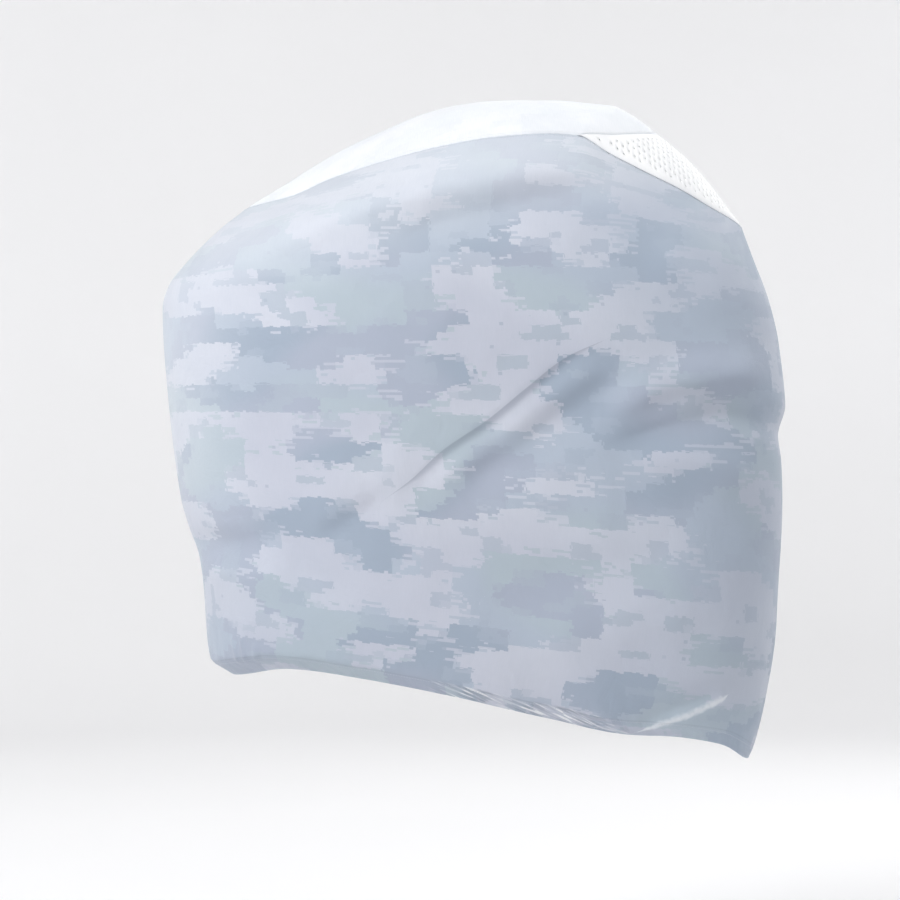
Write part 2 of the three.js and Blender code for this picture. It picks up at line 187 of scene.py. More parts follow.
STARBOARD_FOLDS = [
    fold(-6, 11, 9, [(-120, 556), (-60, 512), (20, 470), (90, 440), (150, 424)], power=1.5),
    fold(7, 18, 22, [(-100, 580), (-30, 534), (50, 494), (168, 458)]),
    fold(-8, 20, 30, [(150, 566), (220, 530), (290, 505), (366, 490)]),
    fold(7, 30, 24, [(140, 520), (230, 476), (340, 452)]),
    fold(6, 32, 30, [(-400, 430), (-330, 470), (-250, 520)]),
    fold(-4, 24, 26, [(-380, 500), (-310, 540), (-220, 590)]),
    fold(5, 30, 36, [(-390, 266), (-260, 212), (-80, 160), (90, 132)]),
    fold(-5, 20, 24, [(-440, 600), (-370, 612), (-290, 590)]),
    fold(3.5, 40, 34, [(-30, 712), (80, 700), (220, 676)]),
]
CREASE_EDGE = 8  # the sharp upper edge of the first fold lies this far above its trough
# Where the hem is drawn together, and the thin folds that run to it.
TIE_X = 140
TIE_FOLDS = table("start above height width", [
    (-126, 20, 1.7, 3.2), (-96, 11, 1.5, 3.0), (-46, 16, 1.6, 3.0), (10, 8, 1.5, 3.0),
])
TIE_PULLS = [
    fold(3.6, 7, 7, [(140, 847), (188, 831), (216, 819), (268, 796)], ending=0.12),
    fold(-3.2, 15, 9, [(134, 834), (176, 820), (212, 804), (254, 788)]),
]
# Small gathers where the hem turns the lower corner at the bow.
BOW_GATHERS = [
    fold(2.6, 3, 3, [(-384, 726), (-381, 744), (-376, 768)], ending=0.05),
    fold(2.8, 3, 3, [(-370, 722), (-367, 742), (-364, 768)], ending=0.05),
    fold(2.4, 4, 4, [(-352, 734), (-349, 748), (-349, 768)], ending=0.1),
]


def read(curve, key, column, at):
    """One column of a table at values of its key column, along a smooth curve with no overshoot."""
    keys, values = curve[key], curve[column]
    slope = np.diff(values) / np.diff(keys)
    before, after = slope[:-1], slope[1:]
    total = np.where(before + after == 0, 1, before + after)
    inner = np.where(before * after > 0, 2 * before * after / total, 0)
    tangent = np.concatenate([slope[:1], inner, slope[-1:]])
    i = np.clip(np.searchsorted(keys, at) - 1, 0, len(keys) - 2)
    span = keys[i + 1] - keys[i]
    t = np.clip((at - keys[i]) / span, 0, 1)
    bend = tangent[i] * t * (1 - t) ** 2 - tangent[i + 1] * t * t * (1 - t)
    return values[i] + (values[i + 1] - values[i]) * t * t * (3 - 2 * t) + span * bend


def mix(a, b, t):
    return a + (b - a) * t


def smoothstep(value, low, high):
    t = np.clip((value - low) / (high - low), 0, 1)
    return t * t * (3 - 2 * t)


def unit(vectors):
    return vectors / np.maximum(np.linalg.norm(vectors, axis=-1, keepdims=True), 1e-9)


def lengths_along(points):
    """How far each of a line's points lies from its start."""
    return np.concatenate([[0], np.cumsum(np.linalg.norm(np.diff(points, axis=0), axis=1))])


def plan_width(share, bow, stern):
    """How full the plan is at a share of the length, from 0 at both ends to 1 at the middle."""
    power = np.where(share < 0.5, bow, stern)
    out = np.minimum(1, np.abs(2 * share - 1))
    return (1 - out**power) ** (1 / power)


def side_point(share, rise):
    """A point of the starboard side panel before its folds: share runs from the bow to the stern."""
    share, rise = np.broadcast_arrays(np.asarray(share, float), np.asarray(rise, float))
    front = read(FRONT_EDGE, "rise", "x", rise)
    rear = read(REAR_EDGE, "rise", "x", rise)
    front_drop = mix(FRONT_HEM[1], FRONT_TIP[1], rise)
    rear_drop = mix(REAR_HEM[1], REAR_TIP[1], rise)
    hem_drop = read(HEM, "x", "drop", mix(FRONT_HEM[0], REAR_HEM[0], share))
    seam_drop = read(INSERT_SEAM, "x", "drop", mix(FRONT_TIP[0], REAR_TIP[0], share))
    flat_hem = mix(FRONT_HEM[1], REAR_HEM[1], share)
    flat_seam = mix(FRONT_TIP[1], REAR_TIP[1], share)
    level = mix(front_drop, rear_drop, share) - mix(flat_hem, flat_seam, rise)
    width = HALF_WIDTH * read(FULLNESS, "rise", "width", rise)
    y = width * plan_width(share, *(read(FULLNESS, "rise", end, rise) for end in ("bow", "stern")))
    return np.stack([mix(front, rear, share), y, CROWN_LEVEL - mix(hem_drop, seam_drop, rise) - level], -1)


def insert_point(share, across):
    """A point of the insert: share runs from its front tip aft, across from -1 to port to 1."""
    share, across = np.broadcast_arrays(np.asarray(share, float), np.asarray(across, float))
    seam = side_point(share, np.ones_like(share))
    crown_x = mix(FRONT_TIP[0], REAR_TIP[0], share) + CROWN_SKEW * 4 * share * (1 - share)
    crown_z = CROWN_LEVEL - read(CROWN, "x", "drop", crown_x)
    arch = np.clip(1 - across**2, -1, 1)
    x = mix(seam[..., 0], crown_x, arch)
    return np.stack([x, seam[..., 1] * across, mix(seam[..., 2], crown_z, arch)], -1)


def insert_normals(shares, across, step_along=0.003, step_across=0.01):
    """Unit normals of the insert, from points a step away along and across it."""
    along = [insert_point(np.clip(shares + step, 0, 1), across) for step in (step_along, -step_along)]
    sideways = [insert_point(shares, np.clip(across + step, -1, 1)) for step in (step_across, -step_across)]
    return unit(np.cross(along[0] - along[1], sideways[0] - sideways[1]))


CORNER_SHARE = (CORNER_X - FRONT_TIP[0]) / INSERT_LENGTH


def top_end(across):
    """The share of the insert's length where the top panel ends and the vent panel starts."""
    return mix(CORNER_SHARE, TOP_END_AT_CENTRE, 1 - np.abs(across) ** TOP_END_POWER)


def even_shares(rise, fractions, steps=900):
    """Shares that put columns at given fractions of a row's length, and that length."""
    turn = (1 - np.cos(np.pi * np.arange(steps + 1) / steps)) / 2
    lengths = lengths_along(side_point(turn, np.full(steps + 1, rise)))
    return np.interp(fractions * lengths[-1], lengths, turn), lengths[-1]


def grid_normals(grid):
    """Unit normals of a grid of points, from the neighbours along and across."""
    return unit(np.cross(np.gradient(grid, axis=1), np.gradient(grid, axis=0)))


def smooth_line(points, steps=10):
    """A Catmull-Rom curve through given points."""
    p = np.array(points, float)
    p = np.vstack([2 * p[0] - p[1], p, 2 * p[-1] - p[-2]])
    t = np.arange(steps)[:, None] / steps
    out = []
    for a, b, c, d in zip(p[:-3], p[1:-2], p[2:-1], p[3:]):
        out.append(
            0.5 * (2 * b + (c - a) * t + (2 * a - 5 * b + 4 * c - d) * t**2 + (3 * b - a - 3 * c + d) * t**3)
        )
    return np.vstack([*out, p[-2:-1]])


def fold_place(fold, x, drop, reach):
    """Where places lie by a fold's line: which of them are near it, the signed distance of those from
    it, positive above it, and the share of its length."""
    line = smooth_line(fold["line"])
    low, high = line.min(0) - reach, line.max(0) + reach
    near = (x > low[0]) & (x < high[0]) & (drop > low[1]) & (drop < high[1])
    px, pd = x[near], drop[near]
    steps = np.linalg.norm(np.diff(line, axis=0), axis=1)
    start = np.concatenate([[0], np.cumsum(steps)])
    distance = np.full(px.shape, 1e9)
    share = np.zeros_like(px)
    for a, b, length, before in zip(line[:-1], line[1:], steps, start):
        ahead = (b - a) / length
        along = (px - a[0]) * ahead[0] + (pd - a[1]) * ahead[1]
        across = (px - a[0]) * ahead[1] - (pd - a[1]) * ahead[0]
        on = np.clip(along, 0, length)
        away = np.copysign(np.hypot(across, along - on), across)
        closer = np.abs(away) < np.abs(distance)
        distance = np.where(closer, away, distance)
        share = np.where(closer, (before + on) / start[-1], share)
    return near, distance, share


def fold_taper(fold, share):
    """How a fold rises from nothing at its start and dies away at its end."""
    return smoothstep(share, 0, 0.3) * smoothstep(1 - share, 0, fold["ending"])


def fold_lift(folds, x, drop):
    """How far the folds lift the cloth off its smooth form at places seen from the side."""
    lift = np.zeros_like(x)
    for fold in folds:
        near, distance, share = fold_place(fold, x, drop, 3 * max(fold["above"], fold["below"]))
        width = np.where(distance > 0, fold["above"], fold["below"])
        shape = np.exp(-((np.abs(distance) / width) ** fold["power"]))
        lift[near] += fold["height"] * fold_taper(fold, share) * shape
    return lift


def crease_distance(fold, x, drop, edge=0.0, reach=60):
    """Signed distances from a line that runs a step above a fold's, larger where the fold dies away."""
    out = np.full(x.shape, FAR)
    near, distance, share = fold_place(fold, x, drop, reach)
    out[near] = (distance - edge) / np.maximum(fold_taper(fold, share), 0.02)
    return out


def tie_folds():
    """Thin ridges that run down along the hem to the point where it is drawn together."""
    folds = []
    for start, above, height, width in zip(*TIE_FOLDS.values()):
        line = []
        for share in (0, 0.33, 0.66, 1):
            x = mix(start, TIE_X, share)
            line.append((x, float(read(HEM, "x", "drop", x)) - mix(above, 3, share**1.3)))
        folds.append(fold(height, width, width, line, power=1.8, ending=0.08))
    return folds


def waviness(x, drop, seed, height=1.0):
    """The slight unevenness of cloth, from a few long waves in seeded directions."""
    rng = np.random.default_rng(seed)
    total = np.zeros_like(x)
    for length in (310, 230, 170, 120, 90, 66):
        angle = rng.uniform(0.1, 0.9) * np.pi
        phase = rng.uniform(0, TURN)
        wave = np.sin(TURN * (x * np.sin(angle) + drop * np.cos(angle)) / length + phase)
        patch = 0.5 + 0.5 * np.sin(TURN * (x * np.cos(angle) - drop * np.sin(angle)) / (length * 2.3) + phase)
        total += wave * patch * (length / 310) ** 0.6
    return height * total


def growing(first, last, step, largest, growth):
    """Distances from first to last whose steps grow up to the largest."""
    out = [first]
    while out[-1] + step < last:
        out.append(out[-1] + step)
        step = min(largest, step * growth)
    return out


# The edge of a panel at a seam: how deep the cloth stands inwards, and how far from the seam it is.
SEAM_EDGE = [(ALLOWANCE, 0.0), (4.5, 0.0), (2.4, 0.0), (1.2, 0.05), (0.5, 0.25), (0.15, 0.7), (0, 1.3)]
SEAM_DISTANCES = [away for depth, away in SEAM_EDGE] + [2.0, 2.8, 3.9, 5.2, 6.8, 8.8, 11.2, 14, 17.4]
SEAM_DEPTHS = [depth for depth, away in SEAM_EDGE] + [0.0] * (len(SEAM_DISTANCES) - len(SEAM_EDGE))


def spaced(length, largest):
    """Distances and depths across a panel with a seam at both ends, an odd number of them."""
    inside = length - 2 * SEAM_DISTANCES[-1]
    count = 2 * round(inside / largest / 2)
    middle = SEAM_DISTANCES[-1] + inside * np.arange(1, count) / count
    distances = np.concatenate([SEAM_DISTANCES, middle, length - np.array(SEAM_DISTANCES[::-1])])
    depths = np.concatenate([SEAM_DEPTHS, np.zeros(count - 1), SEAM_DEPTHS[::-1]])
    return distances, depths


def side_rows():
    """The rows of a side panel, from the end of the hem's flap to the top seam: their heights above
    the hem, their insets, and how deep they stand inwards at the seam."""
    rows = [(height, 2 * HEM_TURN, 0) for height in FLAP_HEIGHTS]
    for k in range(TURN_ROWS):
        angle = math.pi * k / (TURN_ROWS - 1)
        rows.append((HEM_TURN * (1 - math.sin(angle)), HEM_TURN * (1 + math.cos(angle)), 0))
    top = PANEL_HEIGHT - SEAM_DISTANCES[-1]
    low = growing(**LOW_ROWS)
    count = round((top - low[-1]) / SIDE_STEP["rows"])
    high = [mix(low[-1], top, k / count) for k in range(1, count)]
    rows += [(height, 0, 0) for height in low + high]
    if (len(rows) + len(SEAM_DISTANCES)) % 2 == 0:
        rows.pop(SPARE_ROW)
    seam = zip(SEAM_DISTANCES[::-1], SEAM_DEPTHS[::-1])
    return np.array(rows + [(PANEL_HEIGHT - away, 0, depth) for away, depth in seam], float).T


def seam_inward(share):
    """The direction in which the cloth runs inwards at the insert's seam, to starboard."""
    share = np.clip(share, 0.004, 0.996)
    step = 0.003
    along = side_point(share + step, 1.0) - side_point(share - step, 1.0)
    side = unit(np.cross(along, side_point(share, 1.0) - side_point(share, 0.98)))
    insert = unit(np.cross(along, insert_point(share, 0.97) - insert_point(share, 1.0)))
    side *= np.sign((side * [0, 1, 0]).sum(-1, keepdims=True))
    insert *= np.sign((insert * [0, 0, 1]).sum(-1, keepdims=True))
    return -unit(side + insert)


def groove(distance, sunk=1):
    """How deep the cloth sinks at a distance from a seam."""
    return sunk * GROOVE["depth"] * np.exp(-((distance / GROOVE["width"]) ** 2))


def seam_relief(distance, runs, sunk=1):
    """The puckers beside a seam and its groove. runs is the place along the seam."""
    place = runs + PUCKER["drift"] * np.sin(runs / PUCKER["drift_length"])
    pucker = np.sin(TURN * place / PUCKER["pitch"]) * np.exp(-distance / PUCKER["reach"])
    return PUCKER["height"] * pucker - groove(distance, sunk)


def hem_gathers(around, above_hem, side, seed):
    """The long waves and the short puckers that the elastic draws into the hem."""
    above = np.maximum(above_hem, 0)
    place = TURN * (around + side * GATHER["start"])
    uneven = 1 - UNEVEN + UNEVEN * np.sin(place / GATHER["uneven_pitch"])
    waves = np.sin(place / GATHER["pitch"]) * uneven * np.exp(-above / GATHER["reach"])
    drifts = [far * np.sin(around / length + seed * moved) for far, length, moved in HEM_DRIFTS]
    drift = around + sum(drifts)
    uneven = 1 - UNEVEN + UNEVEN * np.sin(around / HEM_PUCKER["uneven_length"] + 2 * seed)
    puckers = np.sin(TURN * drift / HEM_PUCKER["pitch"]) * uneven * np.exp(-above / HEM_PUCKER["reach"])
    return GATHER["height"] * waves + HEM_PUCKER["height"] * puckers


def side_base(rises, distances, step=0.002):
    """A side panel's smooth form: points, normals, shares and places around each row."""
    base = np.zeros((len(rises), len(distances), 3))
    around = np.zeros(base.shape[:2])
    shares = np.zeros(base.shape[:2])
    for j, rise in enumerate(rises):
        shares[j], length = even_shares(min(rise, 1), distances / ROW_LENGTH)
        base[j] = side_point(shares[j], min(rise, 1))
        around[j] = distances / ROW_LENGTH * length
    ahead = side_point(np.clip(shares + step, 0, 1), np.minimum(rises, 1 - step)[:, None])
    behind = side_point(np.clip(shares - step, 0, 1), np.minimum(rises, 1 - step)[:, None])
    higher = side_point(shares, np.clip(rises + step, 0, 1)[:, None])
    lower = side_point(shares, np.clip(rises - step, 0, 1 - 2 * step)[:, None])
    return base, unit(np.cross(higher - lower, ahead - behind)), shares, around


def side_grid(side, folds, seed):
    """The outer face of a side panel: its points and its UV maps. print is the place on the cut cloth,
    edges the heights above the hem and the distances from a seam, marks the distances from the first
    pull at the tie point and from the long crease, and tie the place seen from the tie point."""
    heights, insets, top_depths = side_rows()
    distances, end_depths = spaced(ROW_LENGTH, SIDE_STEP["columns"])
    base, normals, shares, around = side_base(heights / PANEL_HEIGHT, distances)
    end_distance = np.minimum(distances, ROW_LENGTH - distances)[None, :]
    at_seam = (1 - smoothstep(end_distance, 0, END_TURN))[..., None]
    normals = unit(mix(normals, unit(normals * [1, 0, 1]), at_seam))
    above_hem = base[..., 2] - base[HEM_ROW, :, 2][None, :]
    near_hem = (1 - smoothstep(above_hem, 0, HEM_LEVEL))[..., None]
    normals = unit(mix(normals, unit(normals * [1, 1, 0]), near_hem))
    x, drop = base[..., 0], CROWN_LEVEL - base[..., 2]
    top_distance = (PANEL_HEIGHT - np.minimum(heights, PANEL_HEIGHT))[:, None]
    fade = smoothstep(end_distance, *FADE["ends"]) * smoothstep(top_distance, *FADE["top"])
    lift = fade * (fold_lift(folds, x, drop) + waviness(x, drop, seed))
    low_drop = np.minimum(drop, drop[HEM_ROW][None, :] - 1.0)
    outside = smoothstep(np.arange(len(heights)), len(FLAP_HEIGHTS), OUTER_ROW - 1)[:, None]
    at_hem = hem_gathers(around, above_hem, side, seed) + fold_lift(tie_folds() + TIE_PULLS, x, low_drop)
    at_hem += outside * fold_lift(BOW_GATHERS, x, low_drop)
    lift += smoothstep(end_distance, *FADE["gathers"]) * at_hem
    seam_distance = np.minimum(end_distance, top_distance)
    lift += seam_relief(seam_distance, np.where(end_distance < top_distance, drop, around))
    points = base + normals * (lift - insets[:, None])[..., None]
    top_inward = seam_inward(shares) * top_depths[:, None, None]
    deeper = (top_depths[:, None] > end_depths[None, :])[..., None]
    points += np.where(deeper, top_inward, -normals * end_depths[None, :, None])
    points[..., 1] = side * np.maximum(points[..., 1], SEAM_GAP / 2)
    print_u = -side * (around - around[:, -1:] / 2) + PRINT_START[side]
    steps = np.diff(base, axis=0)
    leaning = np.linalg.norm(steps, axis=-1) - np.abs(steps[..., 2])
    climb = np.vstack([np.zeros_like(leaning[:1]), np.cumsum(leaning, axis=0)])
    climb -= climb[len(heights) // 2]
    tilt = smoothstep(drop, PRINT_TILT["from_drop"], PRINT_TILT["to_drop"])
    print_v = climb - drop + PRINT_TILT["slope"] * (x - PRINT_TILT["level_x"]) * tilt
    pull, crease = crease_distance(TIE_PULLS[0], x, low_drop), crease_distance(folds[0], x, drop, CREASE_EDGE)
    maps = {
        "print": np.stack([print_u, print_v], -1),
        "edges": np.stack([above_hem, seam_distance], -1),
        "marks": np.stack([pull, crease], -1),
        "tie": np.stack([TIE_X - x, np.maximum(above_hem, 0)], -1),
    }
    return points, maps


def top_grid():
    """The outer face of the top panel, from port to starboard and from its front tip aft."""
    across_distances, across_depths = spaced(TOP_WIDTH, TOP_STEP["rows"])
    across = np.clip(2 * across_distances / TOP_WIDTH - 1, -1, 1)
    along_distances, along_depths = spaced(TOP_LENGTH, TOP_STEP["columns"])
    keep = along_distances > TIP_COLUMNS_END
    along = np.concatenate([TIP_SHARES, mix(TIP_SHARES[-1], 1, along_distances[keep] / TOP_LENGTH)])
    depths_aft = np.where(along_distances > TOP_LENGTH / 2, along_depths, 0)[keep]
    depths_aft = np.concatenate([np.zeros(len(TIP_SHARES)), depths_aft])
    if len(along) % 2 == 0:
        along, depths_aft = np.delete(along, SPARE_COLUMN), np.delete(depths_aft, SPARE_COLUMN)
    shares = along[None, :] * (top_end(across)[:, None] - SEAM_GAP / 2 / INSERT_LENGTH)
    a = across[:, None] * np.ones_like(shares)
    base, normals = insert_point(shares, a), insert_normals(shares, a)
    half = side_point(shares, 1.0)[..., 1]
    side_distance = (1 - np.abs(a)) * half
    aft_distance = (1 - along)[None, :] * TOP_LENGTH * np.ones_like(shares)
    seam_distance = np.minimum(side_distance, aft_distance)
    x, y = base[..., 0], base[..., 1]
    lift = waviness(x, y, 5, 0.8) * smoothstep(seam_distance, *FADE["insert"])
    sunk = mix(FLAT_SEAM, 1, smoothstep(aft_distance - side_distance, -4, 4))
    lift += seam_relief(seam_distance, np.where(side_distance < aft_distance, x, y), sunk)
    narrow = smoothstep(half, *NARROW)
    points = base + normals * (lift * narrow)[..., None]
    inward = seam_inward(shares)
    inward[..., 1] *= np.sign(a)
    side_depth = across_depths[:, None] * smoothstep(half, *NARROW_ALLOWANCE)
    deeper = (side_depth > depths_aft[None, :])[..., None]
    points += np.where(deeper, inward * side_depth[..., None], -normals * depths_aft[None, :, None])
    gap = np.where(across < 0, 1, -1) * SEAM_GAP / 2
    points[..., 1] += np.where(np.abs(across) > 0.97, gap, 0)[:, None] * narrow
    maps = {
        "print": np.stack([x, y * TOP_PRINT["stretch"] + TOP_PRINT["start"]], -1),
        "edges": np.stack([np.full(x.shape, FAR), seam_distance], -1),
        "marks": np.full((*x.shape, 2), FAR),
        "tie": np.full((*x.shape, 2), -FAR),
    }
    return points, maps


def hollow_depth(points, normals, above_hem):
    """How much deeper a grid of every second point has to lie, to stay under the folds' hollows."""
    chord = np.zeros(points.shape)
    chord[::2, ::2] = points[::2, ::2]
    chord[1::2, ::2] = (points[:-1:2, ::2] + points[2::2, ::2]) / 2
    chord[::2, 1::2] = (points[::2, :-1:2] + points[::2, 2::2]) / 2
    falling = (points[:-1:2, :-1:2] + points[2::2, 2::2]) / 2
    rising = (points[2::2, :-1:2] + points[:-1:2, 2::2]) / 2
    depth = np.zeros(points.shape[:2])
    for diagonal in (falling, rising):
        chord[1::2, 1::2] = diagonal
        depth = np.maximum(((chord - points) * normals).sum(-1), depth)
    reach = HOLLOW["reach"]
    padded = np.pad(depth, reach)
    rows, columns = depth.shape
    near = range(2 * reach + 1)
    around = [padded[i : i + rows, j : j + columns] for i in near for j in near]
    most = np.where(above_hem < HEM_FLAP + HOLLOW["above_flap"], HOLLOW["most_at_hem"], HOLLOW["most"])
    return np.minimum(HOLLOW["margin"] * np.max(around, axis=0), most)[::2, ::2, None]


def sheet_mesh(name, points, maps, flip, materials):
    """A closed sheet from the points of its outer face. The inner face has half as many rows and
    columns, one thickness inside, and a rim joins the two."""
    rows, columns = points.shape[:2]
    normals = grid_normals(points) * (-1 if flip else 1)
    depth = THICKNESS + hollow_depth(points, normals, maps["edges"][..., 0])
    inner_points = points[::2, ::2] - normals[::2, ::2] * depth
    inner_rows, inner_columns = inner_points.shape[:2]
    outer_index = np.arange(rows * columns).reshape(rows, columns)
    inner_index = rows * columns + np.arange(inner_rows * inner_columns).reshape(inner_rows, inner_columns)

    def quads(index):
        return np.stack([index[:-1, :-1], index[:-1, 1:], index[1:, 1:], index[1:, :-1]], -1).reshape(-1, 4)

    outer_faces = quads(outer_index)
    inner_faces = quads(inner_index)[:, ::-1]
    rim = []
    for outer, inner, turned in (
        (outer_index[0], inner_index[0], True),
        (outer_index[-1], inner_index[-1], False),
        (outer_index[:, 0], inner_index[:, 0], False),
        (outer_index[:, -1], inner_index[:, -1], True),
    ):
        a, b, c, d, e = outer[:-2:2], outer[1:-1:2], outer[2::2], inner[:-1], inner[1:]
        for face in ((a, b, d), (b, e, d), (b, c, e)):
            tri = np.stack(face, -1)
            rim.append(tri[:, ::-1] if turned else tri)
    rim = np.vstack(rim)
    if flip:
        outer_faces, inner_faces, rim = outer_faces[:, ::-1], inner_faces[:, ::-1], rim[:, ::-1]
    verts = np.vstack([points.reshape(-1, 3), inner_points.reshape(-1, 3)]) * MM
    faces = outer_faces.tolist() + inner_faces.tolist() + rim.tolist()
    uv_maps = {
        word: np.vstack([values.reshape(-1, 2), values[::2, ::2].reshape(-1, 2)]) * MM
        for word, values in maps.items()
    }
    piece = mesh_object(name, verts, faces, uv_maps, materials)
    inside = np.zeros(len(faces), int)
    inside[len(outer_faces) :] = 1
    piece.data.polygons.foreach_set("material_index", inside)
    return piece


def mesh_object(name, verts, faces, uv_maps, materials):
    mesh = bpy.data.meshes.new(name)
    mesh.from_pydata(np.asarray(verts).tolist(), [], faces)
    corner = np.zeros(len(mesh.loops), int)
    mesh.loops.foreach_get("vertex_index", corner)
    for uv_name, uv in uv_maps.items():
        layer = mesh.uv_layers.new(name=uv_name)
        layer.data.foreach_set("uv", np.asarray(uv)[corner].ravel())
    mesh.polygons.foreach_set("use_smooth", np.ones(len(mesh.polygons), bool))
    for material in materials:
        mesh.materials.append(material)
    mesh.update()
    piece = bpy.data.objects.new(name, mesh)
    bpy.context.scene.collection.objects.link(piece)
    return piece


def vent_share(x, y):
    """The share of the insert's length at places on it seen from above, by halving an interval."""
    low, high = np.full(x.shape, CORNER_SHARE - 0.05), np.ones(x.shape)
    for _ in range(40):
        middle = (low + high) / 2
        half = np.maximum(side_point(middle, 1.0)[..., 1], 1e-6)
        before = insert_point(middle, np.clip(y / half, -1.4, 1.4))[..., 0] < x
        low, high = np.where(before, middle, low), np.where(before, high, middle)
    return (low + high) / 2


SLOPE_X = np.linspace(CORNER_X - 30, REAR_TIP[0] + 10, 400)
SLOPE_DROP = read(CROWN, "x", "drop", np.clip(SLOPE_X, FRONT_TIP[0], REAR_TIP[0]))
SLOPE_LENGTH = np.concatenate([[0], np.cumsum(np.hypot(np.diff(SLOPE_X), 0.8 * np.diff(SLOPE_DROP)))])


def vent_outline():
    """The vent panel's outline seen from above, x and y: port seam, tip, starboard seam, front."""
    gap = SEAM_GAP / 2
    shares = np.linspace(CORNER_SHARE, 1, 90)[:-1]
    seam = side_point(shares, 1.0)[:, :2]
    seam = seam[seam[:, 1] > INSERT_TIP]
    tip_x = REAR_TIP[0] - 0.6
    across = np.linspace(1, -1, 90)[1:-1]
    front = insert_point(top_end(across) + gap / INSERT_LENGTH, across)[:, :2]
    port = seam * [1, -1] + [0, gap]
    starboard = seam[::-1] - [0, gap]
    return np.vstack([port, [[tip_x, -INSERT_TIP * 0.7], [tip_x, INSERT_TIP * 0.7]], starboard, front])


def to_flat(places):
    """From x and y seen from above to y and the length down the slope, where the holes are round."""
    return np.stack([places[:, 1], np.interp(places[:, 0], SLOPE_X, SLOPE_LENGTH)], -1)


def from_flat(places):
    return np.stack([np.interp(places[:, 1], SLOPE_LENGTH, SLOPE_X), places[:, 0]], -1)


def distance_to(places, loop):
    """The distance of each place from a closed line, and whether it lies inside."""
    a, b = loop, np.roll(loop, -1, axis=0)
    ab = b - a
    ap = places[:, None, :] - a[None]
    t = np.clip((ap * ab).sum(-1) / np.maximum((ab**2).sum(-1), 1e-9), 0, 1)
    distance = np.linalg.norm(ap - t[..., None] * ab, axis=-1).min(1)
    y, ya, yb = places[:, None, 1], a[None, :, 1], b[None, :, 1]
    cross_x = a[None, :, 0] + (y - ya) * ab[None, :, 0] / np.where(yb == ya, 1e-9, yb - ya)
    inside = (((ya > y) != (yb > y)) & (places[:, None, 0] < cross_x)).sum(1) % 2 == 1
    return distance, inside


FILL_MARGIN = 7
BORDERS = (0.9, 2.0, 3.4, 5.2)  # how far rows of points run from the panel's edge
BORDER_MARGIN = 0.5  # how far those rows stay from the holes


def from_nearest(places, centres):
    return np.linalg.norm(places[:, None] - centres[None], axis=-1).min(1)


def vent_places(loop):
    """The centres of the vent panel's holes on an even lattice, and the points that fill the cloth
    between them and along its edge."""
    low, high = loop.min(0), loop.max(0)
    pitch = np.array([HOLE["across"], HOLE["along"]])
    steps = np.arange(-50, 50) + 0.5
    lattice = np.stack(np.meshgrid(steps, steps), -1).reshape(-1, 2) * pitch
    lattice += [0, (low[1] + high[1]) / 2]
    lattice = lattice[((lattice > low) & (lattice < high)).all(1)]
    distance, inside = distance_to(lattice, loop)
    is_hole = inside & (distance > HOLE["margin"])
    holes = lattice[is_hole]
    fill = [lattice + pitch * offset for offset in ([0.5, 0.5], [0.5, 0], [0, 0.5])]
    fill = np.vstack([lattice[~is_hole], *fill])
    distance, inside = distance_to(fill, loop)
    fill = fill[inside & (distance > FILL_MARGIN)]
    ahead = unit(np.roll(loop, -1, axis=0) - np.roll(loop, 1, axis=0))
    sideways = np.stack([-ahead[:, 1], ahead[:, 0]], -1)
    borders = []
    for away in BORDERS:
        for sign in (1, -1):
            border = loop + sideways * away * sign
            distance, inside = distance_to(border, loop)
            borders.append(border[inside & (distance > away * 0.93)])
    borders = np.vstack(borders)
    clear = from_nearest(borders, holes) > HOLE["radius"] + BORDER_MARGIN
    return holes, np.vstack([fill, borders[clear]])


def vent_triangles(loop):
    """The vent panel laid flat with its holes left open, as points and triangles."""
    holes, others = vent_places(loop)
    sides = HOLE["sides"]
    angles = TURN * np.arange(sides) / sides
    ring = HOLE["radius"] * np.stack([np.cos(angles), np.sin(angles)], -1)
    rings = (holes[:, None] + ring[None]).reshape(-1, 2)
    n = len(loop)
    edges = [(i, (i + 1) % n) for i in range(n)]
    for first in range(n, n + len(rings), sides):
        edges += [(first + k, first + (k + 1) % sides) for k in range(sides)]
    places = [Vector(p) for p in np.vstack([loop, rings, others]).tolist()]
    verts, _, faces, *_ = delaunay_2d_cdt(places, edges, [], 0, 1e-6)
    flat = np.array([tuple(v) for v in verts])
    faces = np.array([tuple(f) for f in faces])
    centre = flat[faces].mean(1)
    _, inside = distance_to(centre, loop)
    faces = faces[inside & (from_nearest(centre, holes) >= HOLE["radius"] * math.cos(math.pi / sides))]
    used, numbers = np.unique(faces, return_inverse=True)
    return flat[used], numbers.reshape(faces.shape)


